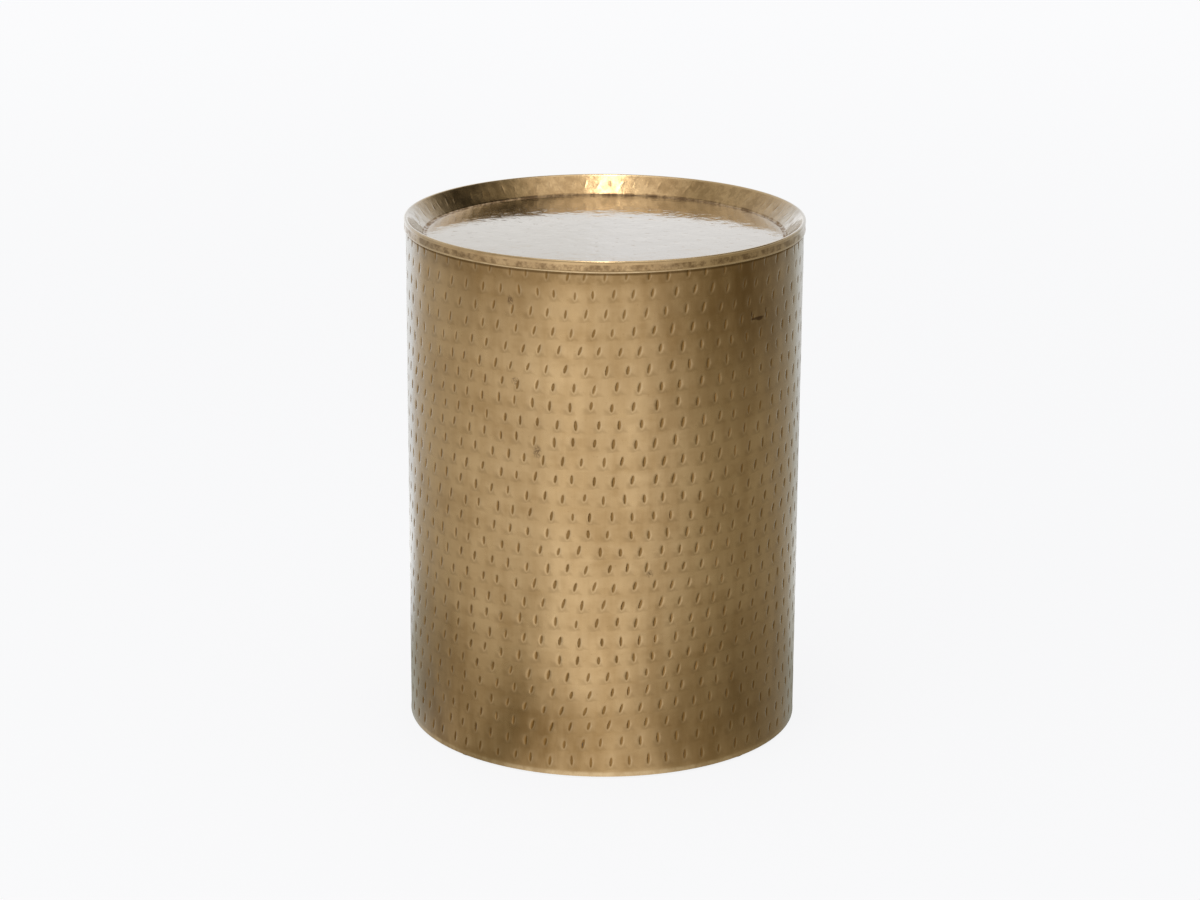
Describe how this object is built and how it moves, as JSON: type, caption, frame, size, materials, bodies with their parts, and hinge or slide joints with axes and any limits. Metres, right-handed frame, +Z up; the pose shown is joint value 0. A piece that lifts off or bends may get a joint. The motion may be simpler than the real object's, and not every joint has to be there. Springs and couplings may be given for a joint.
{
  "type": "drum side table",
  "caption": "Round hammered-metal drum side table: a storage drum under a dished tray top that lifts off, standing on small glides.",
  "frame": {"origin": "centre of the drum on the floor, under the four glides", "axes": "+Z up; -Y to the front; the drum's upright seam is at the back, +Y; +X to the right"},
  "size_m": [0.3827, 0.3828, 0.5],
  "materials": {
    "hammered_brass": "hammered, antiqued and lacquered satin",
    "black_steel": "thin black stove paint on mild steel",
    "black_board": "fibreboard with a black stain",
    "zinc_screw": "zinc plated",
    "foot_plastic": "matte moulded"
  },
  "bodies": {
    "drum": {"drum_shell": "hammered_brass", "seam_strip": "black_steel", "top_hoop": "black_steel", "base_ring": "black_steel", "base_panel": "black_board", "panel_screws": "zinc_screw", "glide_1": "foot_plastic", "glide_2": "foot_plastic", "glide_3": "foot_plastic", "glide_4": "foot_plastic", "glide_screws": "zinc_screw"},
    "tray": {"tray_top": "hammered_brass", "tray_backing": "black_board"}
  },
  "joints": [
    {"name": "tray_lift", "type": "slide", "parent": "drum", "child": "tray", "axis": [0, 0, 1], "range_m": [0, 0.4]}
  ]
}
